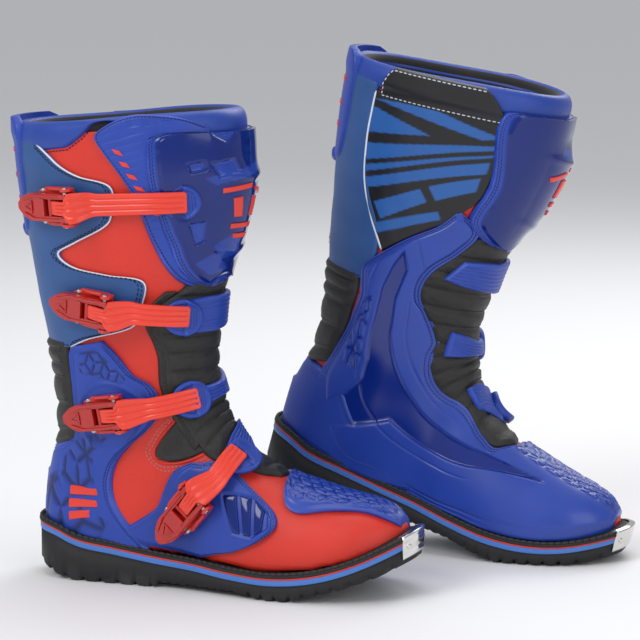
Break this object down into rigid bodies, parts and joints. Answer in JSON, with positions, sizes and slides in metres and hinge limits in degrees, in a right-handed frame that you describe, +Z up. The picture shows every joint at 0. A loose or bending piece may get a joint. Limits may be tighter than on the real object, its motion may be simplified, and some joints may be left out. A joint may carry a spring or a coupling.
{
  "type": "riding boots",
  "caption": "Tall motocross boots with moulded shin, ankle and toe guards, hinged buckle levers with ribbed straps, bellows at the ankle and a padded collar.",
  "frame": {"origin": "middle of the pair's footprint on the floor", "axes": "+X toward the toes, +Y toward the wearer's left, +Z up"},
  "size_m": [0.463, 0.3288, 0.4089],
  "materials": {
    "outsole_rubber": "moulded tread rubber",
    "midsole_blue": "light blue midsole strip under a black stitched welt",
    "shank_steel": "rolled steel strip",
    "toe_plate": "polished plate",
    "upper_red": "smooth red microfibre leather",
    "lining_black": "padded mesh lining with a blue leather collar",
    "footbed_black": "felted foam footbed",
    "calf_leather": "blue grained leather with white piping",
    "graphic_leather": "black leather with a printed blue stripe graphic",
    "bellows_leather": "black pebbled leather",
    "guard_blue": "ribbed moulded polyurethane",
    "shin_gloss": "gloss moulded plate",
    "buckle_red": "moulded nylon with steel rivets and pin",
    "lever_red": "moulded nylon",
    "strap_red": "ribbed elastic polyurethane"
  },
  "bodies": {
    "right_boot": {"right_outsole": "outsole_rubber", "right_welt": "midsole_blue", "right_shank": "shank_steel", "right_toe_guard": "toe_plate", "right_upper": "upper_red", "right_liner": "lining_black", "right_footbed": "footbed_black", "right_calf_panel": "calf_leather", "right_medial_panel": "graphic_leather", "right_rear_bellows": "bellows_leather", "right_front_bellows": "bellows_leather", "right_heel_counter": "guard_blue", "right_medial_guard": "guard_blue", "right_midfoot_guard": "guard_blue", "right_shin_plate": "shin_gloss", "right_front_strap_2": "guard_blue", "right_front_strap_3": "guard_blue", "right_front_strap_4": "guard_blue", "right_buckle_base_1": "buckle_red", "right_buckle_base_2": "buckle_red", "right_buckle_base_3": "buckle_red", "right_buckle_base_4": "buckle_red"},
    "right_lever_1": {"right_buckle_lever_1": "lever_red"},
    "right_strap_1": {"right_buckle_strap_1": "strap_red"},
    "right_lever_2": {"right_buckle_lever_2": "lever_red"},
    "right_strap_2": {"right_buckle_strap_2": "strap_red"},
    "right_lever_3": {"right_buckle_lever_3": "lever_red"},
    "right_strap_3": {"right_buckle_strap_3": "strap_red"},
    "right_lever_4": {"right_buckle_lever_4": "lever_red"},
    "right_strap_4": {"right_buckle_strap_4": "strap_red"},
    "left_boot": {"left_outsole": "outsole_rubber", "left_welt": "midsole_blue", "left_shank": "shank_steel", "left_toe_guard": "toe_plate", "left_upper": "upper_red", "left_liner": "lining_black", "left_footbed": "footbed_black", "left_calf_panel": "calf_leather", "left_medial_panel": "graphic_leather", "left_rear_bellows": "bellows_leather", "left_front_bellows": "bellows_leather", "left_heel_counter": "guard_blue", "left_medial_guard": "guard_blue", "left_midfoot_guard": "guard_blue", "left_shin_plate": "shin_gloss", "left_front_strap_2": "guard_blue", "left_front_strap_3": "guard_blue", "left_front_strap_4": "guard_blue", "left_buckle_base_1": "buckle_red", "left_buckle_base_2": "buckle_red", "left_buckle_base_3": "buckle_red", "left_buckle_base_4": "buckle_red"},
    "left_lever_1": {"left_buckle_lever_1": "lever_red"},
    "left_strap_1": {"left_buckle_strap_1": "strap_red"},
    "left_lever_2": {"left_buckle_lever_2": "lever_red"},
    "left_strap_2": {"left_buckle_strap_2": "strap_red"},
    "left_lever_3": {"left_buckle_lever_3": "lever_red"},
    "left_strap_3": {"left_buckle_strap_3": "strap_red"},
    "left_lever_4": {"left_buckle_lever_4": "lever_red"},
    "left_strap_4": {"left_buckle_strap_4": "strap_red"}
  },
  "joints": [
    {"name": "right_lever_1_hinge", "type": "hinge", "parent": "right_boot", "child": "right_lever_1", "pos_m": [-0.16369, -0.15529, 0.29909], "axis": [-0.0451, -0.0932, 0.9946], "range_deg": [0, 80]},
    {"name": "right_strap_1_hinge", "type": "hinge", "parent": "right_lever_1", "child": "right_strap_1", "pos_m": [-0.17817, -0.15138, 0.2988], "axis": [-0.0451, -0.0932, 0.9946], "range_deg": [-93, 0]},
    {"name": "right_lever_2_hinge", "type": "hinge", "parent": "right_boot", "child": "right_lever_2", "pos_m": [-0.13714, -0.14594, 0.21732], "axis": [0.1322, -0.1708, 0.9764], "range_deg": [0, 80]},
    {"name": "right_strap_2_hinge", "type": "hinge", "parent": "right_lever_2", "child": "right_strap_2", "pos_m": [-0.15197, -0.1453, 0.21944], "axis": [0.1322, -0.1708, 0.9764], "range_deg": [-93, 0]},
    {"name": "right_lever_3_hinge", "type": "hinge", "parent": "right_boot", "child": "right_lever_3", "pos_m": [-0.13084, -0.13919, 0.13812], "axis": [-0.1625, -0.0644, 0.9846], "range_deg": [0, 80]},
    {"name": "right_strap_3_hinge", "type": "hinge", "parent": "right_lever_3", "child": "right_strap_3", "pos_m": [-0.1456, -0.138, 0.13576], "axis": [-0.1625, -0.0644, 0.9846], "range_deg": [-93, 0]},
    {"name": "right_lever_4_hinge", "type": "hinge", "parent": "right_boot", "child": "right_lever_4", "pos_m": [-0.06858, -0.13586, 0.07549], "axis": [-0.7574, 0.1444, 0.6368], "range_deg": [0, 80]},
    {"name": "right_strap_4_hinge", "type": "hinge", "parent": "right_lever_4", "child": "right_strap_4", "pos_m": [-0.07825, -0.136, 0.06402], "axis": [-0.7574, 0.1444, 0.6368], "range_deg": [-93, 0]},
    {"name": "left_lever_1_hinge", "type": "hinge", "parent": "left_boot", "child": "left_lever_1", "pos_m": [0.04073, 0.15529, 0.33364], "axis": [-0.2172, -0.0932, -0.9717], "range_deg": [0, 80]},
    {"name": "left_strap_1_hinge", "type": "hinge", "parent": "left_lever_1", "child": "left_strap_1", "pos_m": [0.02669, 0.15138, 0.33716], "axis": [-0.2172, -0.0932, -0.9717], "range_deg": [-93, 0]},
    {"name": "left_lever_2_hinge", "type": "hinge", "parent": "left_boot", "child": "left_lever_2", "pos_m": [0.04492, 0.14594, 0.24777], "axis": [-0.3835, -0.1708, -0.9076], "range_deg": [0, 80]},
    {"name": "left_strap_2_hinge", "type": "hinge", "parent": "left_lever_2", "child": "left_strap_2", "pos_m": [0.03116, 0.1453, 0.25371], "axis": [-0.3835, -0.1708, -0.9076], "range_deg": [-93, 0]},
    {"name": "left_lever_3_hinge", "type": "hinge", "parent": "left_boot", "child": "left_lever_3", "pos_m": [0.03024, 0.13919, 0.16969], "axis": [-0.1014, -0.0644, -0.9928], "range_deg": [0, 80]},
    {"name": "left_strap_3_hinge", "type": "hinge", "parent": "left_lever_3", "child": "left_strap_3", "pos_m": [0.01537, 0.138, 0.17128], "axis": [-0.1014, -0.0644, -0.9928], "range_deg": [-93, 0]},
    {"name": "left_lever_4_hinge", "type": "hinge", "parent": "left_boot", "child": "left_lever_4", "pos_m": [0.07389, 0.13586, 0.09293], "axis": [0.5639, 0.1444, -0.8131], "range_deg": [0, 80]},
    {"name": "left_strap_4_hinge", "type": "hinge", "parent": "left_lever_4", "child": "left_strap_4", "pos_m": [0.06155, 0.136, 0.0844], "axis": [0.5639, 0.1444, -0.8131], "range_deg": [-93, 0]},
    {"name": "left_boot_tip", "type": "hinge", "parent": "right_boot", "child": "left_boot", "pos_m": [0.12801, 0.086, 0], "axis": [0, 1, 0], "range_deg": [-15.2, 0]}
  ],
  "couplings": [
    {"joint": "right_strap_1_hinge", "follows": "right_lever_1_hinge", "ratio": -1.14},
    {"joint": "right_strap_2_hinge", "follows": "right_lever_2_hinge", "ratio": -1.14},
    {"joint": "right_strap_3_hinge", "follows": "right_lever_3_hinge", "ratio": -1.14},
    {"joint": "right_strap_4_hinge", "follows": "right_lever_4_hinge", "ratio": -1.14},
    {"joint": "left_strap_1_hinge", "follows": "left_lever_1_hinge", "ratio": -1.14},
    {"joint": "left_strap_2_hinge", "follows": "left_lever_2_hinge", "ratio": -1.14},
    {"joint": "left_strap_3_hinge", "follows": "left_lever_3_hinge", "ratio": -1.14},
    {"joint": "left_strap_4_hinge", "follows": "left_lever_4_hinge", "ratio": -1.14}
  ]
}
